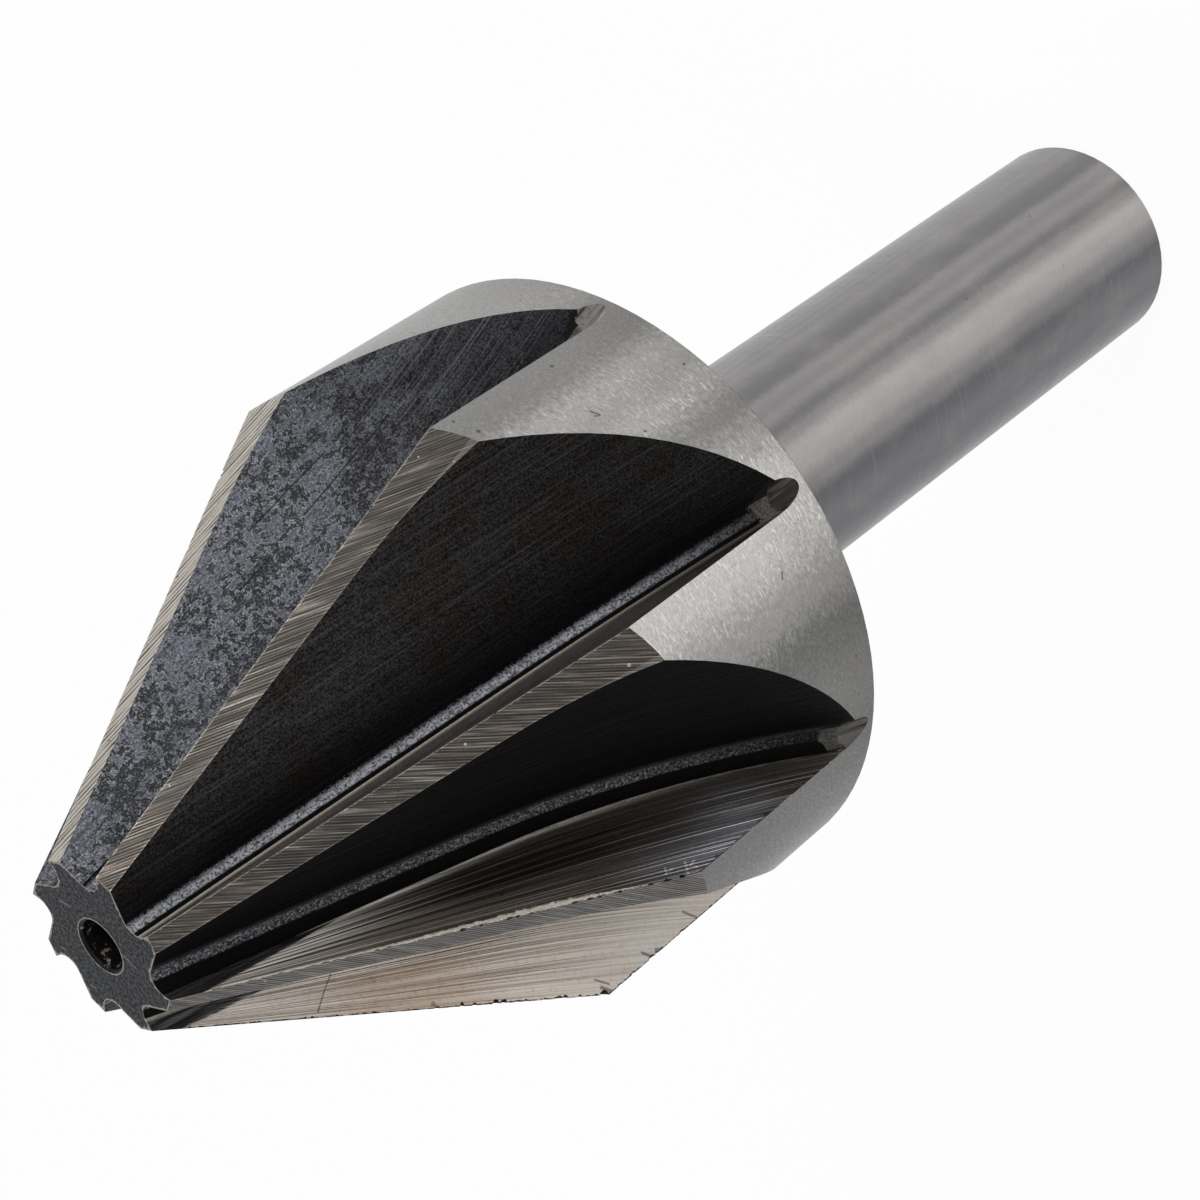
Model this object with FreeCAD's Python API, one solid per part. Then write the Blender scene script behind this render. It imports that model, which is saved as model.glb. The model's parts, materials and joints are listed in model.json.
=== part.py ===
import FreeCAD, Part
import math
import os

# Countersink bit with eight straight flutes, one piece of tool steel.
# Z runs along the axis from the end of the shank to the tip. Sizes are in mm and degrees.

# Shank
shank_dia = 11.9
shank_len = 42.2
shank_edge = 0.35

# Head
head_dia = 32.0
head_len = 12.95
head_edge = 0.2
neck_radius = 0.4
cone_angle = 60.0
tip_dia = 8.5

# Centre hole in the tip face
hole_dia = 2.5
hole_depth = 6.0
hole_point_angle = 118.0
hole_edge = 0.12

# Teeth
tooth_count = 8
rake_setback = 0.29
relief_angle = 15.4

# Flutes, milled by a single-angle cutter with a rounded corner
cutter_dia = 100.0
cutter_slant = 18.0
cutter_corner = 0.75
root_depth_at_tip = 1.42
root_slope = 16.2
root_straight = 15.5

# Run-out pocket, left by the rim of the wheel that ground the rake face
wheel_dia = 100.0
wheel_width = 1.44
pocket_margin = 0.6
pocket_slope = 23.6

# Values that follow from the sizes above
head_radius = head_dia / 2
tip_radius = tip_dia / 2
cone_half = math.radians(cone_angle / 2)
head_rear = shank_len
cone_base = head_rear + head_len
tip_height = cone_base + (head_radius - tip_radius) / math.tan(cone_half)

origin = FreeCAD.Vector(0, 0, 0)
axis_z = FreeCAD.Vector(0, 0, 1)
axis_y = FreeCAD.Vector(0, 1, 0)


def side_point(radius, height):
    return FreeCAD.Vector(radius, 0, height)


def turned(edges):
    """Full turn of a closed outline about the long axis."""
    return Part.Face(Part.Wire(edges)).revolve(origin, axis_z, 360)


def turned_blank():
    """Shank, collar and cone before any flute is cut."""
    shank_radius = shank_dia / 2
    start = side_point(0, 0)
    shank_end = side_point(shank_radius - shank_edge, 0)
    shank_side = side_point(shank_radius, shank_edge)
    neck_start = side_point(shank_radius, head_rear - neck_radius)
    turn = neck_radius * (1 - math.sqrt(0.5))
    neck_mid = side_point(shank_radius + turn, head_rear - turn)
    neck_end = side_point(shank_radius + neck_radius, head_rear)
    rear_rim = side_point(head_radius - head_edge, head_rear)
    rear_side = side_point(head_radius, head_rear + head_edge)
    cone_start = side_point(head_radius, cone_base)
    tip_rim = side_point(tip_radius, tip_height)
    tip_centre = side_point(0, tip_height)
    outline = [
        Part.makeLine(start, shank_end),
        Part.makeLine(shank_end, shank_side),
        Part.makeLine(shank_side, neck_start),
        Part.Arc(neck_start, neck_mid, neck_end).toShape(),
        Part.makeLine(neck_end, rear_rim),
        Part.makeLine(rear_rim, rear_side),
        Part.makeLine(rear_side, cone_start),
        Part.makeLine(cone_start, tip_rim),
        Part.makeLine(tip_rim, tip_centre),
        Part.makeLine(tip_centre, start),
    ]
    return turned(outline)


def centre_hole():
    """Drilled hole in the tip face, with its lightly broken edge and the drill's point."""
    hole_radius = hole_dia / 2
    overshoot = hole_edge
    point_len = hole_radius / math.tan(math.radians(hole_point_angle / 2))
    mouth = side_point(hole_radius + hole_edge + overshoot, tip_height + overshoot)
    wall_top = side_point(hole_radius, tip_height - hole_edge)
    wall_end = side_point(hole_radius, tip_height - hole_depth)
    point = side_point(0, tip_height - hole_depth - point_len)
    middle = side_point(0, tip_height + overshoot)
    outline = [
        Part.makeLine(middle, mouth),
        Part.makeLine(mouth, wall_top),
        Part.makeLine(wall_top, wall_end),
        Part.makeLine(wall_end, point),
        Part.makeLine(point, middle),
    ]
    return turned(outline)


def disc_point(centre, direction, reach, width):
    """Point of a disc's outline, at a reach from its axis and a width from the rake plane."""
    return centre + direction * reach + FreeCAD.Vector(0, width, 0)


def flute_cutter():
    """Space swept by the angle cutter: a straight run from the tip, then its own round rim."""
    radius = cutter_dia / 2
    slope = math.radians(root_slope)
    slant = math.radians(cutter_slant)
    width = head_radius * 0.8
    root_x = tip_radius - root_depth_at_tip + root_straight * math.tan(slope)
    root_z = tip_height - root_straight
    inward = FreeCAD.Vector(-math.cos(slope), 0, -math.sin(slope))
    travel = FreeCAD.Vector(-math.sin(slope), 0, math.cos(slope))
    centre = FreeCAD.Vector(root_x, -rake_setback, root_z) - inward * radius
    corner_reach = radius - cutter_corner * (math.tan(slant) + 1 / math.cos(slant))
    middle_turn = (slant - math.pi / 2) / 2
    face_start = disc_point(centre, inward, 0, 0)
    corner_start = disc_point(centre, inward, corner_reach, 0)
    corner_mid = disc_point(
        centre,
        inward,
        corner_reach + cutter_corner * math.cos(middle_turn),
        cutter_corner * (1 + math.sin(middle_turn)),
    )
    corner_end = disc_point(
        centre,
        inward,
        corner_reach + cutter_corner * math.cos(slant),
        cutter_corner * (1 + math.sin(slant)),
    )
    slant_end = disc_point(centre, inward, radius - width * math.tan(slant), width)
    back = disc_point(centre, inward, 0, width)
    outline = Part.Wire([
        Part.makeLine(face_start, corner_start),
        Part.Arc(corner_start, corner_mid, corner_end).toShape(),
        Part.makeLine(corner_end, slant_end),
        Part.makeLine(slant_end, back),
        Part.makeLine(back, face_start),
    ])
    section = Part.Face(outline)
    disc = section.revolve(centre, axis_y, 360)
    run = section.extrude(travel * (root_straight / math.cos(slope) + head_radius))
    return disc.fuse(run)


def pocket_wheel():
    """Rim of the grinding wheel where it leaves the collar behind the flute."""
    radius = wheel_dia / 2
    rim_radius = wheel_width / 2
    slope = math.radians(pocket_slope)
    inward = FreeCAD.Vector(-math.cos(slope), 0, -math.sin(slope))
    exit_point = FreeCAD.Vector(head_radius, -rake_setback, head_rear + pocket_margin)
    centre = exit_point - inward * radius
    hub_low = disc_point(centre, inward, 0, 0)
    rim_low = disc_point(centre, inward, radius - rim_radius, 0)
    rim_mid = disc_point(centre, inward, radius, rim_radius)
    rim_high = disc_point(centre, inward, radius - rim_radius, wheel_width)
    hub_high = disc_point(centre, inward, 0, wheel_width)
    outline = Part.Wire([
        Part.makeLine(hub_low, rim_low),
        Part.Arc(rim_low, rim_mid, rim_high).toShape(),
        Part.makeLine(rim_high, hub_high),
        Part.makeLine(hub_high, hub_low),
    ])
    return Part.Face(outline).revolve(centre, axis_y, 360)


def land_relief():
    """Slab over one tooth, its underside the flat land that falls away behind the cutting edge."""
    edge_low = FreeCAD.Vector(
        math.sqrt(head_radius ** 2 - rake_setback ** 2), -rake_setback, cone_base)
    edge_high = FreeCAD.Vector(
        math.sqrt(tip_radius ** 2 - rake_setback ** 2), -rake_setback, tip_height)
    along = (edge_high - edge_low).normalize()
    outward = axis_y.cross(along).normalize()
    forward = along.cross(outward).normalize()
    relief = math.radians(relief_angle)
    up = outward * math.cos(relief) - forward * math.sin(relief)
    behind = (forward * math.cos(relief) + outward * math.sin(relief)) * -1
    spare = tip_dia / 4
    span = math.pi * head_radius / tooth_count
    first = edge_low - along * spare - behind * spare / 4
    second = edge_high + along * spare - behind * spare / 4
    outline = Part.makePolygon([
        first,
        second,
        second + behind * span,
        first + behind * span,
        first,
    ])
    return Part.Face(outline).extrude(up * spare)


def around(tool):
    """One copy of a tool for each tooth."""
    copies = []
    for number in range(tooth_count):
        copy = tool.copy()
        copy.rotate(origin, axis_z, -number * 360.0 / tooth_count)
        copies.append(copy)
    return copies


def countersink_bit():
    body = turned_blank().cut(centre_hole())
    for tool in (flute_cutter(), pocket_wheel(), land_relief()):
        for copy in around(tool):
            body = body.cut(copy)
    return body.removeSplitter()


os.makedirs("parts", exist_ok=True)
bit = countersink_bit()
bit.exportStep("parts/countersink_bit.step")
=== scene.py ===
import json
import math
import random

import bpy
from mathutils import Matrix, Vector

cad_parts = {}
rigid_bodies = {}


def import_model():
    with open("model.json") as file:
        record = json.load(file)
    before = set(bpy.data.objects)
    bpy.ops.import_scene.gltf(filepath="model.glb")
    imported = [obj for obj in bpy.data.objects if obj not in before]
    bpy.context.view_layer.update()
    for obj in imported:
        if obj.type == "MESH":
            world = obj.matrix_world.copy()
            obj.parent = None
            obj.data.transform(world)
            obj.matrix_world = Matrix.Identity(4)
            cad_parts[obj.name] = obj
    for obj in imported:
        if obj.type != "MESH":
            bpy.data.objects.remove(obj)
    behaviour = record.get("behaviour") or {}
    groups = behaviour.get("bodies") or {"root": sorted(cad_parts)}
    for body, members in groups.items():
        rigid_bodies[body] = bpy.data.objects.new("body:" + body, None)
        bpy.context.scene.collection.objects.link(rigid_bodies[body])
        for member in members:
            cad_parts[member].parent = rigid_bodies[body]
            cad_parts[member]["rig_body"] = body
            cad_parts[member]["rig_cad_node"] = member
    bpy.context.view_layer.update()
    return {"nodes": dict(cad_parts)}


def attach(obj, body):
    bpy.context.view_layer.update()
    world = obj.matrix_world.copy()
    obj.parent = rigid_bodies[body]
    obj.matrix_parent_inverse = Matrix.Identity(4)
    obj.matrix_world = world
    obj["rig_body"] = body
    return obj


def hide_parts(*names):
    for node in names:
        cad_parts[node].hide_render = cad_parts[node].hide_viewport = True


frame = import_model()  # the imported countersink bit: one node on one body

mm = 0.001

# The tool's own measures in millimetres and degrees, as the CAD has them.
tool = {
    "teeth": 8,
    "setback": 0.29,            # a rake face stands this far behind the axis
    "tipZ": 75.502,
    "coneZ": 55.15,             # cone meets the head's outside
    "headRadius": 16.0,
    "tipRadius": 4.25,
    "holeRadius": 1.25,
    "holeEdge": 0.12,
    "halfCone": 30.0,
    "rootAtTip": 2.83,          # bottom of the flute at the tip, from the axis
    "rootSlope": 16.2,
    "straightZ": 60.0,          # above it the flute runs straight, below it the cutter lifts out
    "cutterRadius": 50.0,
    "cutterX": 55.35,
    "cutterZ": 73.95,
    "wallSlant": 18.0,
    "rootFillet": 0.75,
    "rootTurn": 108.0,          # degrees of the rounded root, from rake face to back wall
    "wallStart": 0.98,          # the back wall begins this far inward of the rake face
    "pocketWidth": 1.44,
    "cornerX": 15.997,          # where a cutting edge meets the head's outside
    "stretch": 1.1,             # length along a flute for each millimetre of height
    "landNormal": (0.8348, -0.2656, 0.4823),
    "landOffset": 40.029,
}


def turnedTo(point, tooth):  # the point as tooth 0 would see it
    angle = math.radians(360 / tool["teeth"] * tooth)
    c, s = math.cos(angle), math.sin(angle)
    return Vector((point[0] * c - point[1] * s, point[0] * s + point[1] * c, point[2]))


def edgeX(z):  # the cutting edge's distance from the axis
    drop = tool["tipZ"] - z
    return min(tool["tipRadius"] + drop * math.tan(math.radians(tool["halfCone"])), tool["headRadius"])


def straightRoot(z):  # bottom of the flute where it runs straight
    return tool["rootAtTip"] + (tool["tipZ"] - z) * math.tan(math.radians(tool["rootSlope"]))


def aboveRoot(x, z):  # how far a point stands outside the flute's bottom line
    if z >= tool["straightZ"]:
        return (x - straightRoot(z)) * math.cos(math.radians(tool["rootSlope"]))
    return tool["cutterRadius"] - math.hypot(x - tool["cutterX"], z - tool["cutterZ"])


slant = math.radians(tool["wallSlant"])
filletRise = tool["rootFillet"] * (1 / math.cos(slant) + math.tan(slant))
landNormal = Vector(tool["landNormal"]).normalized()
landCorner = Vector((tool["cornerX"], -tool["setback"], tool["coneZ"]))
landAlong = Vector((tool["tipRadius"] - tool["headRadius"], 0, tool["tipZ"] - tool["coneZ"]))
landAlong.normalize()
landBack = landAlong.cross(landNormal)
if landBack.y > 0:
    landBack = -landBack


def deselectAll():
    if bpy.context.object and bpy.context.object.mode != "OBJECT":
        bpy.ops.object.mode_set(mode="OBJECT")
    bpy.ops.object.select_all(action="DESELECT")


def makeActive(obj):
    deselectAll()
    obj.select_set(True)
    bpy.context.view_layer.objects.active = obj


def tint(r, g, b):  # a colour as a picture shows it, 0 to 255, for a node's socket
    return tuple(c / 3294.6 if c <= 10 else ((c / 255 + 0.055) / 1.055) ** 2.4 for c in (r, g, b)) + (1,)


# Nodes are added to the tree that was begun last, by newGroup, startFinish or buildLight.
wiring = {"tree": None}


def link(start, end):
    wiring["tree"].links.new(start, end)


def setInput(socket, value):  # a link, where the value is another node's output
    if isinstance(value, bpy.types.NodeSocket):
        link(value, socket)
    else:
        socket.default_value = tint(*value) if socket.type == "RGBA" else value


def addNode(kind, inputs=None, **settings):
    made = wiring["tree"].nodes.new("ShaderNode" + kind)
    for name, value in settings.items():
        setattr(made, name, value)
    for name, value in (inputs or {}).items():
        setInput(made.inputs[name], value)
    return made


def sums(operation, a, b=0.0, c=0.0, clamp=False):
    return addNode("Math", {0: a, 1: b, 2: c}, operation=operation, use_clamp=clamp).outputs[0]


def chained(operation, values):
    total = values[0]
    for value in values[1:]:
        total = sums(operation, total, value)
    return total


def plus(*values):
    return chained("ADD", values)


def minus(a, b):
    return sums("SUBTRACT", a, b)


def times(*values):
    return chained("MULTIPLY", values)


def greatest(*values):
    return chained("MAXIMUM", values)


def vectorSum(operation, a, b=(0, 0, 0), output="Vector"):
    return addNode("VectorMath", {0: a, 1: b}, operation=operation).outputs[output]


def scaled(vector, factors):
    return vectorSum("MULTIPLY", vector, factors)


def partsOf(vector):
    return addNode("SeparateXYZ", {0: vector}).outputs


def joined(x=0.0, y=0.0, z=0.0):
    return addNode("CombineXYZ", {0: x, 1: y, 2: z}).outputs[0]


def noiseOn(place, scale, detail, roughness=0.5):
    inputs = {"Vector": place, "Scale": scale, "Detail": detail, "Roughness": roughness}
    return addNode("TexNoise", inputs).outputs[0]


def spread(value, low, high, toLow=0.0, toHigh=1.0):
    inputs = {"Value": value, "From Min": low, "From Max": high, "To Min": toLow, "To Max": toHigh}
    return addNode("MapRange", inputs).outputs[0]


def stepsOf(place, stops, interpolation):  # grey levels along 0 to 1, as (position, level)
    node = addNode("ValToRGB", {0: place})
    ramp = node.color_ramp
    ramp.interpolation = interpolation
    while len(ramp.elements) < len(stops):
        ramp.elements.new(0.5)
    for i, (position, level) in enumerate(stops):
        ramp.elements[i].position = position
        ramp.elements[i].color = (level, level, level, 1)
    return node.outputs[0]


def mixed(amount, a, b):  # colours a and b by a mask
    return addNode("Mix", {0: amount, 6: a, 7: b}, data_type="RGBA").outputs[2]


def layered(colour, look, layers):  # a mask and the look's colour for each layer, one over another
    for mask, over in layers:
        colour = mixed(mask, colour, look[over])
    return colour


def newGroup(name, inputs, output):  # input sockets by name, with their first values
    tree = bpy.data.node_groups.new(name, "ShaderNodeTree")
    for socketName, value in inputs.items():
        kind = "NodeSocketVector" if isinstance(value, tuple) else "NodeSocketFloat"
        tree.interface.new_socket(socketName, in_out="INPUT", socket_type=kind).default_value = value
    tree.interface.new_socket(output, in_out="OUTPUT", socket_type="NodeSocketFloat")
    wiring["tree"] = tree
    return tree, tree.nodes.new("NodeGroupInput").outputs, tree.nodes.new("NodeGroupOutput").inputs[0]


def useGroup(group, *values):  # with its inputs in their order
    made = addNode("Group", node_tree=group)
    for socket, value in zip(made.inputs, values):
        setInput(socket, value)
    return made.outputs[0]


# Effects that several finishes share, each a node group.
origin = (0, 0, 0)


def grindGroup():  # streaks left by a wheel or cutter, so many to a millimetre each way
    inputs = {"Place": origin, "Stretch": (1, 1, 1), "Detail": 3.0, "Contrast": 1.0}
    group, given, lines = newGroup("grindLines", inputs, "Lines")
    noise = noiseOn(scaled(given["Place"], given["Stretch"]), 1.0, given["Detail"], 0.6)
    link(sums("MULTIPLY_ADD", minus(noise, 0.5), times(given["Contrast"], 2.2), 0.5, clamp=True), lines)
    return group


def speckGroup():  # small separate spots: pits, chips of light, grit
    group, given, spots = newGroup("specks", {"Place": origin, "Size": 0.3, "Share": 0.2}, "Spots")
    cells = addNode("TexVoronoi", {"Vector": given["Place"], "Scale": sums("DIVIDE", 1.0, given["Size"])})
    chance = addNode("SeparateColor", {0: cells.outputs["Color"]}).outputs
    chosen = sums("LESS_THAN", chance[0], given["Share"])
    size = spread(chance[1], 0.0, 1.0, 0.16, 0.42)
    dot = sums("MULTIPLY", minus(size, cells.outputs["Distance"]), 9.0, clamp=True)
    link(times(dot, chosen), spots)
    return group


def borderGroup():  # a band of uneven width along an edge, from the distance to it
    inputs = {"Gap": 0.0, "Width": 0.1, "Place": origin, "Ragged": 0.6}
    group, given, band = newGroup("brokenBorder", inputs, "Band")
    swing = times(minus(noiseOn(given["Place"], 3.0, 3.0, 0.7), 0.5), given["Ragged"], 4.0)
    width = times(given["Width"], plus(1.0, swing))
    link(sums("DIVIDE", minus(width, given["Gap"]), times(given["Width"], 0.35), clamp=True), band)
    return group


def blotchGroup():  # cloudy patches
    inputs = {"Place": origin, "Size": 1.0, "Cover": 0.5, "Softness": 0.1}
    group, given, patches = newGroup("blotches", inputs, "Patches")
    cloud = noiseOn(given["Place"], sums("DIVIDE", 1.0, given["Size"]), 4.0, 0.62)
    level = minus(1.0, given["Cover"])
    link(spread(cloud, minus(level, given["Softness"]), plus(level, given["Softness"])), patches)
    return group


# Angle about the axis in degrees, and how light the painted reflection bands make the ground steel there.
paintedReflectionTones = (
    (-180, 0.22), (-165, 0.16), (-150, 0.03), (-140, 0.05), (-124, 0.15), (-112, 0.08), (-104, 0.30),
    (-94, 0.62), (-86, 0.74), (-78, 0.40), (-73, 0.22), (-66, 0.44), (-62, 0.36), (-57, 0.42),
    (-51, 0.20), (-45, 0.22), (-37, 0.34), (-15, 0.28), (0, 0.36), (24, 0.33), (42, 0.20), (60, 0.36),
    (76, 0.28), (92, 0.42), (108, 0.20), (124, 0.30), (142, 0.35), (160, 0.18), (180, 0.22))


def paintedBandGroup():  # painted reflection bands down the length of a ground round surface, light and dark by the angle about the axis
    group, given, tone = newGroup("paintedReflectionBands", {"Place": origin, "Jitter": 4.0}, "Tone")
    place = given["Place"]
    x, y = partsOf(place)[:2]
    turn = sums("MULTIPLY_ADD", sums("ARCTAN2", y, x), 0.5 / math.pi, 0.5)
    grain = noiseOn(scaled(place, (3.0, 3.0, 5.0)), 1.0, 3.0, 0.65)
    drift = noiseOn(scaled(place, (0.12, 0.12, 0.1)), 1.0, 1.0)
    swing = times(minus(grain, 0.5), sums("DIVIDE", given["Jitter"], 120.0))
    turn = plus(turn, plus(swing, times(minus(drift, 0.5), 0.012)))
    link(stepsOf(turn, [((angle + 180) / 360, level) for angle, level in paintedReflectionTones], "EASE"), tone)
    return group


def barePatchGroup():  # where the relief wheel ran out and took the scale off the flute's end
    group, given, bare = newGroup("barePatch", {"Height": 50.0, "Inward": 0.5, "Place": origin}, "Bare")
    reach = sums("MULTIPLY_ADD", sums("MAXIMUM", minus(given["Inward"], 1.15), 0.0), -2.6, 45.15)
    reach = plus(reach, times(minus(noiseOn(given["Place"], 2.6, 3.0, 0.7), 0.5), 1.1))
    below = sums("MULTIPLY", minus(reach, given["Height"]), 12.0, clamp=True)
    link(times(below, spread(given["Inward"], 0.12, 0.26)), bare)
    return group


def scratchGroup():  # one straight fine mark between two points
    inputs = {"Place": origin, "From": origin, "To": (1, 0, 0), "Width": 0.05}
    group, given, mark = newGroup("scratch", inputs, "Mark")
    run = vectorSum("SUBTRACT", given["To"], given["From"])
    away = vectorSum("SUBTRACT", given["Place"], given["From"])
    length = vectorSum("DOT_PRODUCT", run, run, "Value")
    share = sums("DIVIDE", vectorSum("DOT_PRODUCT", away, run, "Value"), length, clamp=True)
    onLine = addNode("VectorMath", {0: run, "Scale": share}, operation="SCALE").outputs[0]
    gap = vectorSum("DISTANCE", away, onLine, "Value")
    link(sums("DIVIDE", minus(given["Width"], gap), times(given["Width"], 0.5), clamp=True), mark)
    return group


grindLines = grindGroup()
specks = speckGroup()
brokenBorder = borderGroup()
blotches = blotchGroup()
paintedReflectionBands = paintedBandGroup()
barePatch = barePatchGroup()
scratch = scratchGroup()


def shaderOf(material):
    return material.node_tree.nodes["Principled BSDF"]


def startFinish(name, look):
    material = bpy.data.materials.new(name)
    material.use_nodes = True
    wiring["tree"] = material.node_tree
    shaderOf(material).inputs["Metallic"].default_value = look.get("metallic", 0.0)
    shaderOf(material).inputs["Specular IOR Level"].default_value = look.get("shine", 0.5)
    return material


def finished(material, look, colour, polish, height):  # least rough where the polish is 1
    inputs = shaderOf(material).inputs
    low, high = look["rough"]
    link(colour, inputs["Base Color"])
    link(spread(polish, 0.0, 1.0, high, low), inputs["Roughness"])
    bump = addNode("Bump", {"Height": height, "Distance": look["relief"] * mm})
    link(bump.outputs[0], inputs["Normal"])
    return material


def objectPlace():  # millimetres in the tool's own frame
    return scaled(addNode("TexCoord").outputs["Object"], (1000, 1000, 1000))


def attributeParts(name):
    whole = addNode("Attribute", attribute_name=name).outputs["Vector"]
    return whole, *partsOf(whole)


def scratches(place, marks):  # from, to and width of each, in millimetres
    return greatest(*[useGroup(scratch, place, *mark) for mark in marks])


def perTooth(tooth, look):  # reads a row of the look: one value for each tooth, or for the flute before it
    place = sums("DIVIDE", plus(tooth, 0.5), tool["teeth"])

    def read(row):
        return stepsOf(place, [(i / tool["teeth"], value) for i, value in enumerate(look[row])], "CONSTANT")
    return read


def lightPart(value, start, amount, full=1.0):  # a mask of the values above start
    return spread(value, start, full, 0.0, amount)


def darkPart(value, start, amount, full=0.0):  # a mask of the values below start
    return spread(value, start, full, 0.0, amount)


def grinds(place, look, *names):  # patterns of the look: stretch, detail and contrast of each
    return [useGroup(grindLines, place, *look[name]) for name in names]


# The two band colours are the dark and light ends of the painted reflection bands; the brightest colour is
# for painted glints, and the darkest for a painted shade line along the rear rim.
headLook = {
    "low": (80, 80, 80), "high": (232, 230, 225), "dark": (70, 67, 65), "paintedGlint": (244, 241, 236),
    "rearShade": (58, 55, 53), "metallic": 0.85, "rough": (0.3, 0.46), "relief": 0.004, "jitter": 4.0,
    "grains": ((6.5, 6.5, 11.0), 3.0, 1.2), "dashes": ((0.6, 0.6, 9.0), 3.0, 0.8),
    "paintedGlintPattern": ((2.4, 2.4, 10.0), 2.0, 1.5), "pits": (0.3, 0.012), "area": (5.0, 0.55, 0.1),
    "shade": (47.0, 42.4, 0.0, 0.22),           # from and to this height, this much darker
    "rearEdgeShade": (42.44, 42.36, 0.0, 0.75),
    "marks": (((8.02, -13.86, 49.05), (7.68, -14.03, 48.85), 0.06),
              ((7.76, -13.98, 49.12), (7.64, -14.04, 48.9), 0.05),
              ((5.2, -15.13, 47.6), (5.1, -15.16, 47.45), 0.05),
              ((-2.4, -15.82, 46.2), (-2.7, -15.77, 46.35), 0.05),
              ((-11.2, 11.43, 47.0), (-11.6, 11.02, 47.5), 0.05),
              ((3.2, 15.68, 48.2), (2.6, 15.79, 48.3), 0.05))}


def headFinish(look):  # ground outside of the head: painted reflection bands, fine short grains, and painted glints where the bands are bright
    material = startFinish("groundHead", look)
    place = objectPlace()
    height = partsOf(place)[2]
    reflectionBands = useGroup(paintedReflectionBands, place, look["jitter"])
    grains, dashes, paintedGlintPattern = grinds(place, look, "grains", "dashes", "paintedGlintPattern")
    area = useGroup(blotches, place, *look["area"])
    marks = greatest(useGroup(specks, place, *look["pits"]), scratches(place, look["marks"]))
    # the painted glints show only where the painted reflection bands are bright
    brightBandShare = times(spread(reflectionBands, 0.3, 0.5, 0.06, 1.0), sums("MULTIPLY_ADD", area, 0.6, 0.4))
    coarse = sums("MULTIPLY_ADD", brightBandShare, 0.6, 0.4)
    colour = mixed(reflectionBands, look["low"], look["high"])
    colour = layered(colour, look, (
        (times(lightPart(grains, 0.55, 0.24), coarse), "high"),
        (times(darkPart(grains, 0.45, 0.34), coarse), "dark"),
        (darkPart(dashes, 0.4, 0.1), "dark"),
        (times(lightPart(paintedGlintPattern, 0.72, 0.7, 0.95), brightBandShare), "paintedGlint"),
        (spread(height, *look["shade"]), "dark"),
        (times(marks, 0.8), "dark"),
        # a painted shade line along the rear rim
        (spread(height, *look["rearEdgeShade"]), "rearShade")))
    return finished(material, look, colour, grains, minus(sums("MULTIPLY_ADD", dashes, 0.5, grains), marks))


# The two band colours are the dark and light ends of the painted reflection bands.
shankLook = {
    "low": (80, 81, 86), "high": (194, 189, 186), "dark": (84, 83, 83), "warm": (186, 179, 172),
    "cold": (104, 106, 114), "metallic": 0.85, "rough": (0.28, 0.38), "relief": 0.003, "jitter": 1.4,
    "rings": ((0.25, 0.25, 7.0), 4.0, 0.8), "cloud": ((0.5, 0.5, 0.25), 3.0, 0.9),
    "grains": ((5.0, 5.0, 8.0), 2.0, 0.9), "pits": (0.4, 0.008)}


def shankFinish(look):  # smoother ground shank with painted reflection bands down its length
    material = startFinish("groundShank", look)
    place = objectPlace()
    reflectionBands = useGroup(paintedReflectionBands, place, look["jitter"])
    rings, cloud, grains = grinds(place, look, "rings", "cloud", "grains")
    pits = useGroup(specks, place, *look["pits"])
    colour = mixed(reflectionBands, look["low"], look["high"])
    colour = layered(colour, look, (
        (lightPart(cloud, 0.5, 0.16), "warm"),
        (darkPart(cloud, 0.5, 0.18), "cold"),
        (lightPart(rings, 0.6, 0.1), "high"),
        (darkPart(grains, 0.45, 0.12), "dark"),
        (times(pits, 0.5), "dark")))
    return finished(material, look, colour, rings, minus(sums("MULTIPLY_ADD", grains, 0.4, rings), pits))


shoulderLook = {
    "base": (150, 148, 145), "dark": (98, 97, 96), "metallic": 0.85, "rough": (0.28, 0.42), "relief": 0.01,
    "rings": ((6.25, 1, 1), 3.0, 1.0), "grains": ((6, 6, 6), 2.0, 1.0)}


def shoulderFinish(look):  # turned back face of the head and end of the shank: fine rings
    material = startFinish("turnedFace", look)
    place = objectPlace()
    radius = vectorSum("LENGTH", scaled(place, (1, 1, 0)), output="Value")
    rings = useGroup(grindLines, joined(radius), *look["rings"])
    grains = useGroup(grindLines, place, *look["grains"])
    colour = mixed(spread(rings, 0.3, 0.8, 0.55, 0.0), look["base"], look["dark"])
    colour = mixed(darkPart(grains, 0.4, 0.3), colour, look["dark"])
    return finished(material, look, colour, rings, rings)


# Rows of eight give one value for each tooth, or for the flute before it.
landLook = {
    "base": (58, 55, 51), "light": (204, 195, 184), "dark": (28, 25, 23), "burnt": (86, 62, 52),
    "bright": (214, 208, 196), "cold": (118, 121, 127), "pit": (24, 20, 19),
    "metallic": 0.8, "rough": (0.33, 0.46), "relief": 0.014, "pitch": 0.125, "waver": 3.2,
    "depth": ((0.35, 1.7, 5.3), 2.0, 1.4), "fine": ((0.3, 9.0, 3.1), 2.0, 1.4),
    "grains": ((6, 6, 6), 3.0, 1.1),
    "flecks": (0.24, 0.02), "pits": (0.32, 0.01), "patch": (2.2, 0.42, 0.12),
    "edgeWidth": 0.05, "trailWidth": 0.06,
    "pale": (0.95, 0.01, 0.0, 0.04, 0.4, 0.25, 0.5, 0.3),
    "blue": (0.1, 0.0, 0.0, 0.12, 0.3, 0.1, 0.5, 0.15),
    "brown": (0.1, 0.6, 0.75, 0.0, 0.2, 0.5, 0.2, 0.6),
    "scored": (1.0, 0.5, 0.5, 1.0, 0.7, 0.6, 0.6, 0.6),
    "spaced": (0.5, 1.0, 1.0, 0.9, 0.8, 0.8, 1.0, 0.8)}


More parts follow.
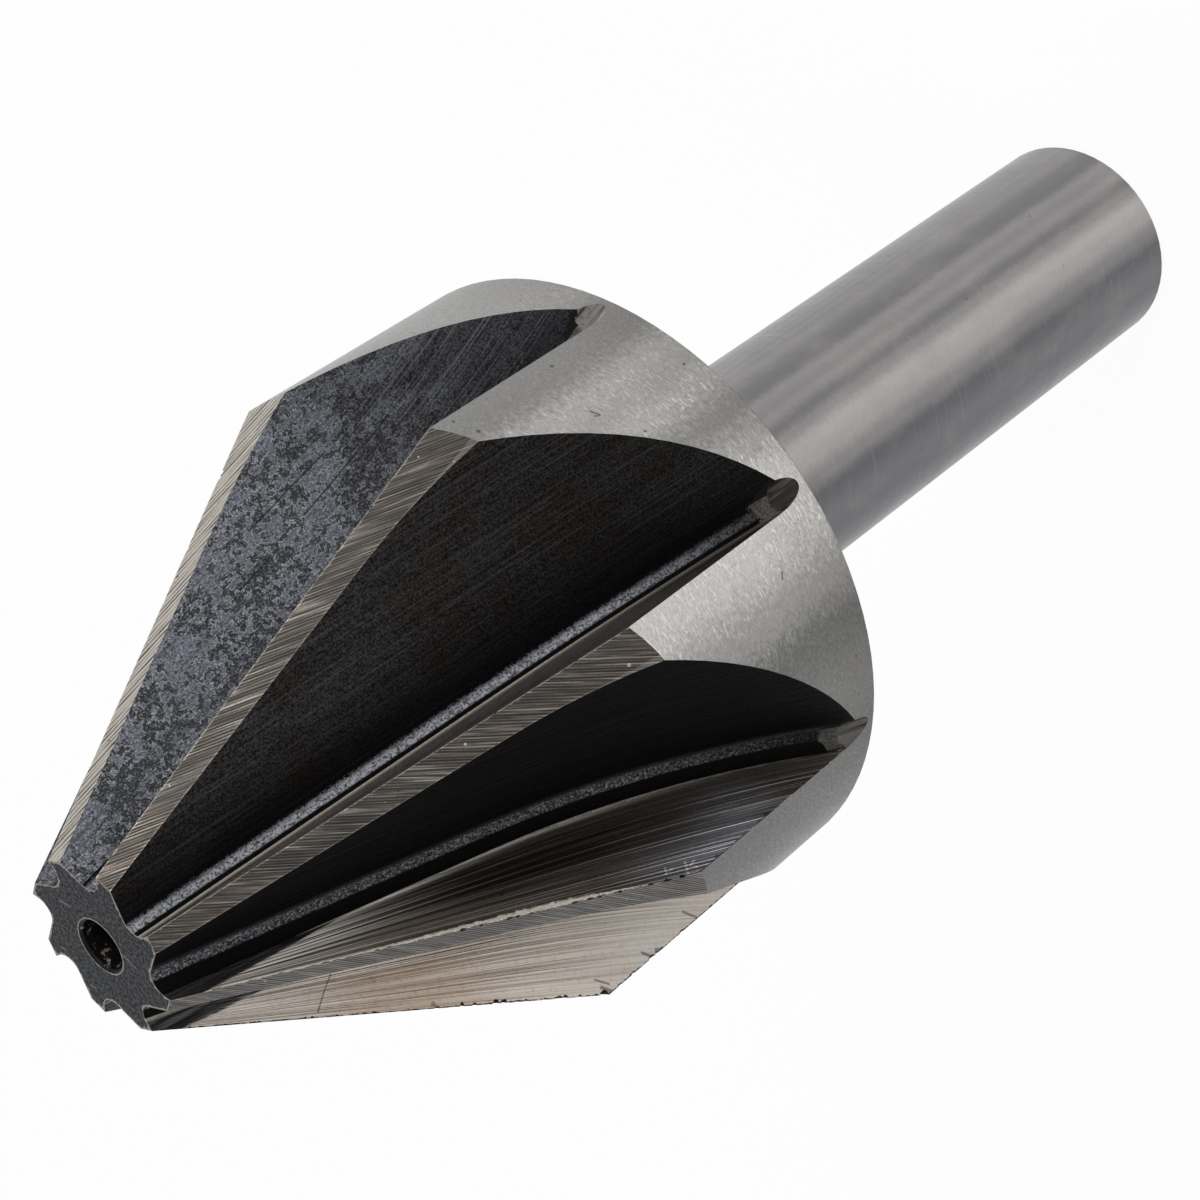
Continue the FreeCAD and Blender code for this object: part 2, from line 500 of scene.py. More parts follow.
def landFinish(look):  # the narrow land behind each cutting edge, with slanting wheel marks
    material = startFinish("groundLand", look)
    way, along, across, tooth = attributeParts("grainWay")
    fromEdge, fromTrail = attributeParts("edgeGap")[1:3]
    each = perTooth(tooth, look)
    place = objectPlace()
    flat = joined(times(across, each("spaced")), times(along, 0.04), times(tooth, 9.1))
    waves = {"Vector": flat, "Scale": 0.314 / look["pitch"], "Distortion": look["waver"]}
    waves.update({"Detail": 2.0, "Detail Scale": 2.0})
    wave = addNode("TexWave", waves, wave_type="BANDS", bands_direction="X").outputs["Fac"]
    depth, fine = grinds(way, look, "depth", "fine")
    grains = useGroup(grindLines, place, *look["grains"])
    flecks = useGroup(specks, scaled(place, (1.0, 1.4, 0.8)), *look["flecks"])
    pits = useGroup(specks, scaled(place, (1.1, 0.9, 1.3)), *look["pits"])
    patch = useGroup(blotches, place, *look["patch"])
    # light lines along the cutting and trailing edges: worn edges, partly painted highlight
    edgeWearHighlight = useGroup(brokenBorder, fromEdge, look["edgeWidth"], place, 1.2)
    trailWearHighlight = useGroup(brokenBorder, fromTrail, look["trailWidth"], place, 0.8)
    scored = each("scored")
    groove = times(spread(wave, 0.45, 0.1), spread(depth, 0.25, 0.75, 0.35, 1.0))
    colour = mixed(each("pale"), look["base"], look["light"])
    colour = layered(colour, look, (
        (times(each("blue"), 0.8), "cold"),
        (times(patch, each("brown"), 0.35), "burnt"),
        (times(spread(wave, 0.6, 1.0), spread(scored, 0.5, 1.0, 0.06, 0.22)), "light"),
        (lightPart(fine, 0.6, 0.2), "light"),
        (darkPart(fine, 0.4, 0.4), "dark"),
        (times(groove, scored), "dark"),
        (darkPart(grains, 0.4, 0.3), "dark"),
        (times(trailWearHighlight, 0.1), "light"),
        (times(flecks, 0.4), "bright"),
        (times(pits, 0.7), "pit"),
        (times(edgeWearHighlight, 0.2), "bright")))
    return finished(material, look, colour, fine, minus(times(fine, 0.5), groove))


rakeLook = {
    # The lightest colours are for the painted ridge highlight, the scraped streaks and the chips, and for
    # the band along the cutting edge, which is worn metal with a painted highlight.
    "pale": (202, 191, 179), "dull": (112, 104, 99), "black": (11, 10, 10), "streak": (66, 55, 46),
    "burnt": (150, 122, 92), "edge": (246, 241, 231), "cool": (206, 210, 220),
    "heated": (168, 132, 104), "grey": (164, 161, 157), "wearAndHighlight": (224, 214, 201),
    "soot": (84, 82, 85), "scratch": (52, 46, 42),
    "metallic": 0.9, "rough": (0.22, 0.4), "relief": 0.018,
    "broad": ((0.02, 1.5, 5.7), 2.0, 1.5), "narrow": ((0.045, 5.5, 2.9), 2.0, 1.5),
    "grains": ((5, 5, 5), 3.0, 1.1), "sootLines": ((8.0, 0.25, 3.7), 3.0, 1.8),
    "rust": (1.0, 0.42, 0.08), "pits": (0.5, 0.02),
    # The sooty wedge's border: this far from the axis, at this height, with this slope.
    "wedge": (5.02, 73.8, 0.175),
    "chipWidth": 0.055,
    "fresh": (0.5, 0.3, 0.02, 0.2, 1.0, 0.8, 0.5, 0.6),
    "streaky": (0.4, 0.4, 0.35, 0.7, 0.18, 0.3, 0.4, 0.35),
    "darkMiddle": (0.4, 0.4, 0.3, 0.82, 0.0, 0.1, 0.4, 0.3),
    "ends": (0.3, 0.3, 0.7, 0.2, 0.0, 0.2, 0.3, 0.3),
    # how strong each tooth's painted ridge highlight is, which also scales the scraped streaks
    "ridgeHighlight": (0.5, 0.4, 0.15, 1.0, 0.4, 0.4, 0.5, 0.4),
    "wide": (0.3, 0.2, 0.1, 1.0, 0.0, 0.4, 0.2, 0.3),
    "silver": (0.3, 0.3, 0.2, 1.0, 0.1, 0.2, 0.4, 0.3),
    "sooty": (0.6, 0.5, 0.9, 1.0, 1.0, 1.0, 1.0, 0.5),
    "dusty": (0.7, 0.7, 0.4, 0.3, 1.0, 0.9, 0.9, 0.7),
    "chipped": (0.3, 0.3, 0.3, 0.85, 1.0, 0.5, 0.4, 0.3),
    # Scratches and chips lie at (from the axis, height, five times the tooth's number).
    "marks": (((8.00, 68.47, 20), (7.47, 67.69, 20), 0.055), ((7.47, 67.69, 20), (6.99, 66.89, 20), 0.045),
              ((15.01, 55.38, 20), (15.60, 54.84, 20), 0.07), ((15.28, 49.02, 20), (15.98, 48.46, 20), 0.08),
              ((15.5, 52.3, 20), (16.1, 51.84, 20), 0.1), ((15.84, 51.54, 20), (16.0, 51.3, 20), 0.12),
              ((15.5, 55.3, 20), (16.0, 54.9, 20), 0.13), ((9.8, 59.0, 30), (10.9, 57.9, 30), 0.05),
              ((12.5, 55.0, 5), (13.1, 54.1, 5), 0.05)),
    "chips": (((14.66, 55.97, 15), (14.93, 56.23, 15), 0.06), ((14.93, 56.1, 15), (14.93, 55.82, 15), 0.05),
              ((15.08, 55.10, 15), (15.61, 55.55, 15), 0.08), ((15.40, 55.15, 15), (15.30, 54.75, 15), 0.07),
              ((15.4, 55.1, 15), (15.7, 55.0, 15), 0.06))}


def rakePlaces(tooth):  # places on the flat rake face, worked out from the cutter's own path
    place = objectPlace()
    turned = {"Vector": place, "Angle": times(tooth, math.radians(360 / tool["teeth"]))}
    x, _, z = partsOf(addNode("VectorRotate", turned, rotation_type="Z_AXIS").outputs[0])
    slope = math.radians(tool["rootSlope"])
    half = math.radians(tool["halfCone"])
    drop = minus(tool["tipZ"], z)
    tall = sums("GREATER_THAN", z, tool["straightZ"])
    level = minus(z, tool["cutterZ"])
    level = times(level, level)
    outward = minus(x, tool["cutterX"])
    reach = sums("SQRT", sums("MULTIPLY_ADD", outward, outward, level))
    straight = sums("MULTIPLY_ADD", drop, math.tan(slope), tool["rootAtTip"])
    curved = minus(tool["cutterX"], sums("SQRT", minus(tool["cutterRadius"] ** 2, level)))
    root = addNode("Mix", {0: tall, 2: curved, 3: straight}).outputs[0]
    wide = sums("MULTIPLY_ADD", drop, math.tan(half), tool["tipRadius"])
    share = sums("DIVIDE", minus(x, root), minus(wide, root))
    fromEdge = sums("MINIMUM", times(minus(wide, x), math.cos(half)), minus(tool["headRadius"], x))
    rises = {0: tall, 2: minus(tool["cutterRadius"], reach), 3: times(minus(x, straight), math.cos(slope))}
    fromRoot = minus(addNode("Mix", rises).outputs[0], filletRise)
    way = joined(times(drop, tool["stretch"]), times(share, 8.0), tooth)
    flat = joined(x, z, times(tooth, 5.0))
    return place, way, flat, x, z, share, fromEdge, fromRoot


def rakeFinish(look):  # the flat face before each cutting edge: wheel streaks that fan out from the tip
    material = startFinish("groundRake", look)
    tooth = attributeParts("grainWay")[3]
    each = perTooth(tooth, look)
    place, way, flat, x, z, share, fromEdge, fromRoot = rakePlaces(tooth)
    broad, narrow = grinds(way, look, "broad", "narrow")
    grains = useGroup(grindLines, place, *look["grains"])
    rust = useGroup(blotches, scaled(way, (0.15, 1.6, 1.0)), *look["rust"])
    pits = useGroup(specks, place, *look["pits"])
    fresh = each("fresh")
    streaky = each("streaky")
    wearAndHighlight = each("ridgeHighlight")

    # a sooty wedge beside the tip, with scraped streaks along its border
    borderX, borderZ, slope = look["wedge"]
    inWedge = minus(sums("MULTIPLY_ADD", z, -slope, borderX + slope * borderZ), x)
    wedge = times(spread(sums("MULTIPLY_ADD", narrow, 0.12, inWedge), 0.0, 0.09), each("sooty"))
    scraped = times(spread(inWedge, -3.0, -0.4), spread(z, 62.0, 68.5), wearAndHighlight)

    # streaks, a darker middle between them, silver near the head and brown where it ran hot
    darkMiddle = times(spread(share, 0.18, 0.34), spread(share, 0.78, 0.52), each("darkMiddle"))
    darkMiddle = times(darkMiddle, spread(sums("MULTIPLY_ADD", share, -7.0, z), 47.5, 53.5))
    silver = times(spread(z, 58.5, 52.5), spread(z, 48.5, 51.5), spread(fromEdge, 3.4, 0.8))
    silver = times(silver, each("silver"), 0.9)
    strength = times(streaky, spread(z, 50.0, 61.0, 0.3, 1.0))
    heat = times(spread(z, 59.5, 63.5), spread(z, 69.0, 65.5))
    heat = times(heat, spread(share, 0.35, 0.6), spread(fresh, 0.7, 1.0))
    outer = times(spread(z, 52.5, 49.0), each("ends"))
    fades = times(spread(z, 60.0, 51.0, 0.0, 0.5), spread(fresh, 0.8, 1.0))
    paler = times(spread(narrow, 0.6, 1.0), sums("MULTIPLY_ADD", fresh, 0.25, 0.12))
    darker = sums("MULTIPLY", spread(narrow, 0.42, 0.05), times(strength, 1.2), clamp=True)
    colour = mixed(fresh, look["dull"], look["pale"])
    colour = layered(colour, look, (
        (silver, "cool"),
        (times(spread(broad, 0.5, 0.1), strength), "streak"),
        (darker, "streak"),
        (paler, "pale"),
        (times(heat, spread(rust, 0.0, 1.0, 0.34, 0.7)), "heated"),
        (times(rust, 0.22), "burnt"),
        (darkPart(grains, 0.42, 0.25), "streak"),
        (times(pits, 0.5), "streak"),
        (times(darkMiddle, spread(narrow, 0.3, 0.8, 0.9, 0.6)), "black"),
        (times(outer, spread(narrow, 0.3, 0.9, 1.0, 0.5)), "black"),
        (fades, "grey"),
        (times(scraped, lightPart(narrow, 0.48, 0.85, 0.66)), "edge")))

    # a painted highlight on the ridge beside the root, and the band along the cutting edge, worn bare and
    # partly painted highlight
    ridgeHighlight = times(sums("POWER", spread(fromRoot, 0.3, -0.05), 1.6), wearAndHighlight, spread(z, 49.0, 56.0, 0.0, 0.9))
    ridgeHighlight = times(ridgeHighlight, spread(narrow, 0.2, 0.8, 0.6, 1.0), spread(wedge, 0.5, 0.0))
    width = times(spread(z, 57.0, 60.5, 0.04, 0.4), spread(z, 61.0, 68.8, 1.0, 0.3))
    band = times(useGroup(brokenBorder, fromEdge, width, place, 0.35), each("wide"))
    colour = layered(colour, look, (
        (ridgeHighlight, "edge"),
        (times(band, spread(grains, 0.1, 0.8, 0.5, 0.95)), "wearAndHighlight")))
    bare = greatest(band, times(ridgeHighlight, 0.8), times(scraped, 0.8))
    link(spread(bare, 0.0, 1.0, look["metallic"], 0.25), shaderOf(material).inputs["Metallic"])

    # soot, chips and scratches over all of it
    sootLines = useGroup(grindLines, joined(inWedge, z, tooth), *look["sootLines"])
    soot = times(spread(sootLines, 0.2, 1.0), each("dusty"))
    colour = mixed(wedge, colour, mixed(soot, look["black"], look["soot"]))
    chipped = useGroup(brokenBorder, fromEdge, look["chipWidth"], place, 1.6)
    colour = layered(colour, look, (
        (times(chipped, each("chipped")), "black"),
        (times(scratches(flat, look["marks"]), 0.65), "scratch"),
        (times(scratches(flat, look["chips"]), 0.8), "edge")))
    height = times(sums("MULTIPLY_ADD", broad, 0.8, narrow), spread(streaky, 0.18, 0.7, 0.45, 1.0))
    return finished(material, look, colour, narrow, height)


wallLook = {
    "black": (6, 6, 6), "scale": (62, 62, 64), "brown": (58, 52, 47), "light": (168, 170, 176),
    "middle": (106, 108, 113), "patch": (60, 61, 64), "hair": (112, 112, 114), "blue": (98, 106, 122),
    "outline": (40, 40, 43), "dot": (38, 38, 41), "score": (34, 34, 36), "foot": (80, 81, 83),
    "shine": 0.03, "rough": (0.42, 0.6), "relief": 0.02,
    "hairs": ((0.12, 10.0, 6.1), 3.0, 1.7), "grains": ((10.0, 10.0, 10.0), 3.0, 2.0),
    "cloud": (3.0, 0.5, 0.12),
    "stain": ((1.9, 2.3, 1.0), 3.0, 1.2), "small": ((3.0, 2.7, 3.3), 2.0, 1.35),
    "broad": ((0.35, 0.5, 1.0), 1.0, 1.3), "scores": ((0.04, 5.0, 4.7), 1.0, 1.6),
    "mottled": (0.8, 1.0, 0.0, 0.0, 0.1, 0.5, 0.3, 0.75),
    "browned": (0.4, 0.0, 1.0, 0.3, 0.5, 0.4, 0.6, 0.4),
    "hairy": (0.2, 0.42, 0.16, 0.2, 0.25, 0.3, 0.3, 0.25),
    "greyWithRootShade": (0.6, 1.0, 1.0, 0.16, 0.6, 0.8, 0.7, 0.9),
    "footed": (0.0, 0.0, 0.0, 1.0, 0.3, 0.2, 0.0, 0.0),
    "marks": (((12.56, -3.53, 55.12), (12.00, -2.84, 57.43), 0.06),
              ((12.00, -2.84, 57.43), (11.40, -2.28, 59.81), 0.06),
              ((12.34, -4.97, 52.36), (11.54, -4.10, 54.95), 0.06),
              ((11.54, -4.10, 54.95), (10.71, -3.39, 57.63), 0.06),
              ((9.88, -2.91, 60.18), (9.43, -2.57, 62.01), 0.06),
              ((12.32, -5.89, 50.68), (11.77, -5.20, 52.44), 0.06))}


# Grey scale in patches with pale curled edges.
def wallMottle(look, place, grains, hairs, level, broad, scores):
    curls = times(spread(level, 0.97, 1.0), spread(level, 1.09, 1.03), 0.88)
    outline = times(spread(level, 0.82, 0.88), spread(level, 0.95, 0.9), 0.5)
    mottle = mixed(spread(level, 0.93, 0.99), look["patch"], look["middle"])
    mottle = layered(mottle, look, (
        (curls, "light"),
        (outline, "outline"),
        (lightPart(broad, 0.5, 0.3, 0.9), "blue"),
        (darkPart(grains, 0.5, 0.58), "dot"),
        (lightPart(grains, 0.55, 0.35), "light"),
        (darkPart(scores, 0.12, 0.45), "patch"),
        (times(scratches(place, look["marks"]), 0.8), "score")))
    return mixed(darkPart(hairs, 0.3, 0.4), mottle, look["patch"])


def wallFinish(look):  # back wall of each flute: black heat scale with a fine grain, mottled where it thins, and painted darker toward the root as shade
    material = startFinish("scaledWall", look)
    way, _, across, tooth = attributeParts("grainWay")
    fromRoot, _, height = attributeParts("edgeGap")[1:]
    each = perTooth(tooth, look)
    place = objectPlace()
    hairs, stain, broad, scores = grinds(way, look, "hairs", "stain", "broad", "scores")
    grains, small = grinds(place, look, "grains", "small")
    cloud = useGroup(blotches, way, *look["cloud"])
    browned = each("browned")
    # less grey grain shows toward the root: painted shade in the flute's corner
    greyWithRootShade = times(spread(fromRoot, 0.3, 3.2, 0.15, 1.0), each("greyWithRootShade"))
    greyWithRootShade = times(greyWithRootShade, minus(1.0, times(browned, spread(height, 50.0, 62.0, 0.45, 0.0))))
    scale = mixed(times(cloud, browned), look["scale"], look["brown"])
    colour = mixed(times(spread(grains, 0.1, 1.0, 0.1, 0.9), greyWithRootShade), look["black"], scale)
    colour = layered(colour, look, (
        (times(spread(hairs, 0.65, 1.0), each("hairy"), greyWithRootShade), "hair"),
        (darkPart(hairs, 0.2, 0.35), "black")))
    level = plus(sums("MULTIPLY_ADD", small, 0.45, stain), times(broad, 0.5))
    shown = spread(sums("MULTIPLY_ADD", broad, 4.0, height), 51.5, 59.5, 0.1, 1.0)
    mottle = wallMottle(look, place, grains, hairs, level, broad, scores)
    colour = mixed(times(each("mottled"), shown), colour, mottle)
    foot = times(spread(sums("MULTIPLY_ADD", grains, 0.3, fromRoot), 0.55, 0.25), each("footed"))
    colour = mixed(foot, colour, mixed(grains, look["black"], look["foot"]))
    bare = useGroup(barePatch, height, across, place)
    colour = mixed(bare, colour, mixed(grains, pocketLook["dark"], pocketLook["base"]))
    return finished(material, look, colour, hairs, sums("MULTIPLY_ADD", hairs, 0.4, grains))


rootLook = {
    "black": (4, 4, 5), "litStripe": (160, 162, 167), "grey": (80, 81, 83), "ridgeHighlight": (186, 180, 168),
    "brown": (72, 65, 58), "spark": (196, 199, 205), "bareDark": (62, 60, 56), "bare": (90, 87, 82),
    "shine": 0.05, "rough": (0.36, 0.56), "relief": 0.02,
    "noise": ((4.0, 9.0, 3.3), 3.0, 1.6), "grains": ((9, 9, 9), 3.0, 1.8),
    # Where the lit stripe begins and ends and how wide the rim is, as shares of the way round the root; the
    # rim carries a painted ridge highlight.
    "begin": (0.50, 0.50, 0.47, 0.55, 0.52, 0.50, 0.48, 0.50),
    "end": (0.95, 0.92, 0.86, 1.20, 1.0, 0.95, 0.95, 0.95),
    "rim": (0.2, 0.25, 0.31, 0.11, 0.2, 0.2, 0.2, 0.2),
    "bright": (0.5, 0.6, 0.85, 0.05, 0.35, 0.6, 0.5, 0.6)}


def rootFinish(look):  # the rounded bottom of each flute: a noisy grey stripe, painted light on the side that faces up, beside a black one that is scale and painted shade
    material = startFinish("scaledRoot", look)
    way, _, _, tooth = attributeParts("grainWay")
    turn, _, height = attributeParts("edgeGap")[1:]
    each = perTooth(tooth, look)
    place = objectPlace()
    noise = useGroup(grindLines, way, *look["noise"])
    grains = useGroup(grindLines, place, *look["grains"])
    ragged = sums("MULTIPLY_ADD", grains, 0.14, minus(turn, 0.07))
    started = sums("MULTIPLY", minus(turn, each("begin")), 16.0, clamp=True)
    lasts = sums("MULTIPLY", minus(each("end"), ragged), 9.0, clamp=True)
    litStripe = times(started, lasts, spread(height, 45.5, 53.0, 0.15, 1.0))
    tone = mixed(each("bright"), look["grey"], look["litStripe"])
    tone = layered(tone, look, (
        (darkPart(noise, 0.55, 0.6, 0.1), "black"),
        (darkPart(grains, 0.5, 0.75, 0.1), "black"),
        (lightPart(grains, 0.65, 0.4), "spark")))
    colour = mixed(litStripe, look["black"], tone)
    rim = each("rim")
    # on the rim beside the rake face the colour turns from brown to a painted highlight on the ridge
    ends = times(spread(height, 68.6, 69.6), sums("LESS_THAN", rim, 0.15))
    onRim = times(sums("MULTIPLY", minus(rim, turn), 40.0, clamp=True), minus(1.0, ends))
    wearAndHighlight = sums("POWER", sums("DIVIDE", turn, rim, clamp=True), times(rim, 6.0))
    wearAndHighlight = times(wearAndHighlight, spread(height, 46.5, 56.0), spread(grains, 0.2, 0.8, 0.75, 1.0))
    colour = mixed(onRim, colour, mixed(wearAndHighlight, look["brown"], look["ridgeHighlight"]))
    bare = useGroup(barePatch, height, turn, place)
    colour = mixed(bare, colour, mixed(spread(grains, 0.2, 0.8), look["bareDark"], look["bare"]))
    return finished(material, look, colour, noise, plus(noise, grains))


pocketLook = {
    "base": (30, 28, 26), "dark": (20, 19, 18), "light": (134, 130, 124), "bright": (224, 220, 212),
    "metallic": 0.4, "shine": 0.3, "rough": (0.35, 0.55), "relief": 0.02,
    "lines": ((0.3, 4.5, 3.1), 3.0, 1.4), "grains": ((5, 5, 5), 3.0, 1.2),
    "pale": (0.3, 0.75, 0.02, 0.2, 0.3, 0.4, 0.2, 0.5),
    # how strong the painted highlight is in each pocket
    "paintedGlint": (0.2, 1.0, 0.0, 0.1, 0.1, 0.4, 0.2, 0.6)}


def pocketFinish(look):  # small pocket where the wheel leaves the head: bare metal, scored along, with a painted highlight along one side
    material = startFinish("barePocket", look)
    way, _, across, tooth = attributeParts("grainWay")
    each = perTooth(tooth, look)
    lines = useGroup(grindLines, way, *look["lines"])
    grains = useGroup(grindLines, objectPlace(), *look["grains"])
    colour = mixed(each("pale"), look["base"], look["light"])
    colour = layered(colour, look, (
        (darkPart(lines, 0.5, 0.8), "dark"),
        (lightPart(lines, 0.6, 0.3, 0.95), "light"),
        (darkPart(grains, 0.42, 0.5), "dark")))
    # a painted highlight along one side of the pocket, on the teeth that its row names
    paintedGlint = times(spread(across, 0.4, 0.12), each("paintedGlint"))
    colour = mixed(paintedGlint, colour, look["bright"])
    return finished(material, look, colour, lines, sums("MULTIPLY_ADD", grains, 0.5, lines))


tipLook = {
    "base": (40, 41, 43), "dark": (22, 22, 24), "light": (66, 67, 69), "burrHighlight": (150, 143, 136),
    "shine": 0.08, "rough": (0.45, 0.65), "relief": 0.012, "rimWidth": 0.1, "holeWidth": 0.07,
    "grains": ((6, 6, 6), 4.0, 2.6), "scuffs": ((0.4, 4.0, 1.0), 2.0, 1.3),
    "marks": (((-0.56, -1.23, 75.5), (-1.0, -1.52, 75.5), 0.05),
              ((-1.0, -1.52, 75.5), (-1.39, -1.65, 75.5), 0.04),
              ((0.59, 3.35, 75.5), (0.39, 3.09, 75.5), 0.04),
              ((-1.44, 2.91, 75.5), (-1.64, 2.65, 75.5), 0.05),
              ((2.1, 0.4, 75.5), (2.5, 0.9, 75.5), 0.04))}


def tipFinish(look):  # matte end face with fine grain, and a light burr line round its outline and its hole, partly painted highlight
    material = startFinish("matteTip", look)
    fromRim, fromHole = attributeParts("edgeGap")[1:3]
    place = objectPlace()
    grains, scuffs = grinds(place, look, "grains", "scuffs")
    rim = useGroup(brokenBorder, fromRim, look["rimWidth"], place, 0.9)
    hole = useGroup(brokenBorder, fromHole, look["holeWidth"], place, 0.4)
    colour = mixed(lightPart(grains, 0.55, 0.6), look["base"], look["light"])
    colour = layered(colour, look, (
        (darkPart(grains, 0.45, 0.7), "dark"),
        (lightPart(scuffs, 0.8, 0.25), "light"),
        (times(greatest(rim, hole), 0.85), "burrHighlight"),
        (times(scratches(place, look["marks"]), 0.6), "burrHighlight")))
    return finished(material, look, colour, grains, grains)


holeLook = {
    "black": (8, 7, 7), "ring": (38, 34, 33), "rust": (150, 134, 126), "mouth": (73.6, 75.2),
    "metallic": 0.1, "shine": 0.15, "rough": (0.4, 0.6), "relief": 0.02,
    "rings": ((0.6, 0.6, 6.0), 3.0, 1.2), "flecks": (0.35, 0.37, 0.05)}


def holeFinish(look):  # the drilled centre: dark, with a few reddish flecks near its mouth
    material = startFinish("darkHole", look)
    place = objectPlace()
    rings = useGroup(grindLines, place, *look["rings"])
    flecks = times(useGroup(blotches, place, *look["flecks"]), spread(partsOf(place)[2], *look["mouth"]))
    colour = mixed(lightPart(rings, 0.5, 0.4), look["black"], look["ring"])
    colour = mixed(flecks, colour, look["rust"])
    return finished(material, look, colour, rings, rings)


chipLook = {
    "base": (20, 18, 17), "light": (78, 70, 64), "metallic": 0.3, "shine": 0.2, "rough": (0.4, 0.6),
    "relief": 0.03, "grains": ((9, 9, 9), 3.0, 1.6)}


def chipFinish(look):  # broken grain inside the nicks
    material = startFinish("chippedEdge", look)
    grains = useGroup(grindLines, objectPlace(), *look["grains"])
    colour = mixed(lightPart(grains, 0.5, 0.8), look["base"], look["light"])
    return finished(material, look, colour, grains, grains)


nickFacts = {
    # tooth, height on its cutting edge, length and depth, in millimetres
    "seen": (
        (3, 64.56, 0.29, 0.12), (3, 63.85, 0.2, 0.084), (3, 62.75, 0.33, 0.096), (3, 62.42, 0.22, 0.084),
        (3, 61.9, 0.33, 0.06), (3, 60.17, 0.35, 0.096), (3, 59.57, 0.37, 0.108), (3, 59.2, 0.22, 0.096),
        (3, 58.38, 0.29, 0.096), (3, 57.17, 0.33, 0.096), (3, 56.5, 0.44, 0.12), (3, 55.9, 0.33, 0.144),
        (4, 63.34, 0.3, 0.14), (4, 62.6, 0.62, 0.084), (4, 62.19, 0.28, 0.224), (4, 61.59, 0.28, 0.168),
        (4, 60.6, 0.44, 0.28), (4, 60.25, 0.38, 0.224), (4, 59.6, 0.38, 0.112), (4, 59.2, 0.25, 0.14),
        (4, 58.28, 0.38, 0.098), (4, 57.6, 0.62, 0.168), (4, 57.3, 0.38, 0.196), (4, 56.58, 0.25, 0.112),
        (4, 55.36, 0.62, 0.28), (4, 54.34, 0.3, 0.1), (4, 53.34, 0.28, 0.13), (4, 51.99, 0.43, 0.17),
        (4, 51.6, 0.25, 0.12), (4, 49.7, 0.25, 0.112), (2, 57.4, 0.16, 0.05), (2, 60.9, 0.2, 0.05),
        (2, 66.2, 0.16, 0.05), (2, 69.4, 0.14, 0.04), (1, 58.9, 0.3, 0.07), (1, 66.0, 0.2, 0.05)),
    "others": (0, 5, 6, 7),         # teeth that the photograph hides wear alike
    "count": 7,
    "spans": ((50.0, 68.0), (0.15, 0.42), (0.05, 0.14)),  # their heights, lengths and depths
    "rough": (0.72, 1.12),
    "seed": 11,
}

skinFacts = {"weld": 0.002, "slivers": 0.0005, "tipStep": 0.25, "tipStart": 0.07, "smooth": 24.0}


def weldedCopy():  # the node's triangles, merged into one closed skin
    node = frame["nodes"]["countersink_bit"]
    makeActive(node)
    bpy.ops.object.duplicate()
    bit = bpy.context.object
    bit.name = bit.data.name = "countersinkBit"
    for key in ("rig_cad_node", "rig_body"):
        if key in bit:
            del bit[key]
    makeActive(bit)
    bpy.ops.object.mode_set(mode="EDIT")
    bpy.ops.mesh.select_all(action="SELECT")
    bpy.ops.mesh.remove_doubles(threshold=skinFacts["weld"] * mm)
    bpy.ops.mesh.dissolve_degenerate(threshold=skinFacts["slivers"] * mm)
    bpy.ops.mesh.customdata_custom_splitnormals_clear()
    bpy.ops.object.mode_set(mode="OBJECT")
    return bit


def nickAt(tooth, z, length, depth, draw):  # one small rough lump, to be cut away from the edge
    along = landAlong if z > tool["coneZ"] else Vector((0, 0, 1))
    spot = turnedTo(Vector((edgeX(z), -tool["setback"], z)), -tooth) * mm
    bpy.ops.mesh.primitive_ico_sphere_add(subdivisions=2, radius=1.0, location=spot)
    lump = bpy.context.object
    for vertex in lump.data.vertices:
        vertex.co *= draw.uniform(*nickFacts["rough"])
    lump.rotation_mode = "QUATERNION"
    lump.rotation_quaternion = turnedTo(along, -tooth).to_track_quat("X", "Z")
    lump.scale = Vector((length / 2, depth, depth)) * mm
    return lump


def cutNicks(bit):  # chips along the cutting edges
    draw = random.Random(nickFacts["seed"])
    nicks = list(nickFacts["seen"])
    for tooth in nickFacts["others"]:
        for i in range(nickFacts["count"]):
            nicks.append((tooth, *[draw.uniform(*span) for span in nickFacts["spans"]]))
    deselectAll()
    lumps = [nickAt(*nick, draw) for nick in nicks]
    makeActive(lumps[0])
    for lump in lumps:
        lump.select_set(True)
    bpy.ops.object.join()
    cutter = bpy.context.object
    makeActive(bit)
    cut = bit.modifiers.new("nicks", "BOOLEAN")
    cut.operation, cut.solver, cut.object = "DIFFERENCE", "EXACT", cutter
    cut.use_self = True
    bpy.ops.object.modifier_apply(modifier="nicks")
    bpy.data.objects.remove(cutter, do_unlink=True)
    print("nicks cut:", len(nicks), "faces now:", len(bit.data.polygons))


def sliceTip(bit):  # a fine grid on the end face, so that its light burr line, partly painted highlight, can follow the outline
    makeActive(bit)
    for face in bit.data.polygons:
        face.select = face.center.z / mm > tool["tipZ"] - 0.01
    bpy.ops.object.mode_set(mode="EDIT")
    bpy.ops.mesh.select_mode(type="FACE")
    bpy.ops.mesh.hide(unselected=True)
    steps = int(tool["tipRadius"] / skinFacts["tipStep"])
    for way in ((1, 0, 0), (0, 1, 0)):
        for i in range(-steps, steps + 1):
            offset = (i * skinFacts["tipStep"] + skinFacts["tipStart"]) * mm
            bpy.ops.mesh.select_all(action="SELECT")
            bpy.ops.mesh.bisect(plane_co=(way[0] * offset, way[1] * offset, 0), plane_no=way)
    bpy.ops.mesh.reveal(select=False)
    bpy.ops.mesh.select_all(action="SELECT")
    bpy.ops.mesh.quads_convert_to_tris(quad_method="BEAUTY", ngon_method="BEAUTY")
    bpy.ops.object.mode_set(mode="OBJECT")
    print("tip gridded, faces:", len(bit.data.polygons))


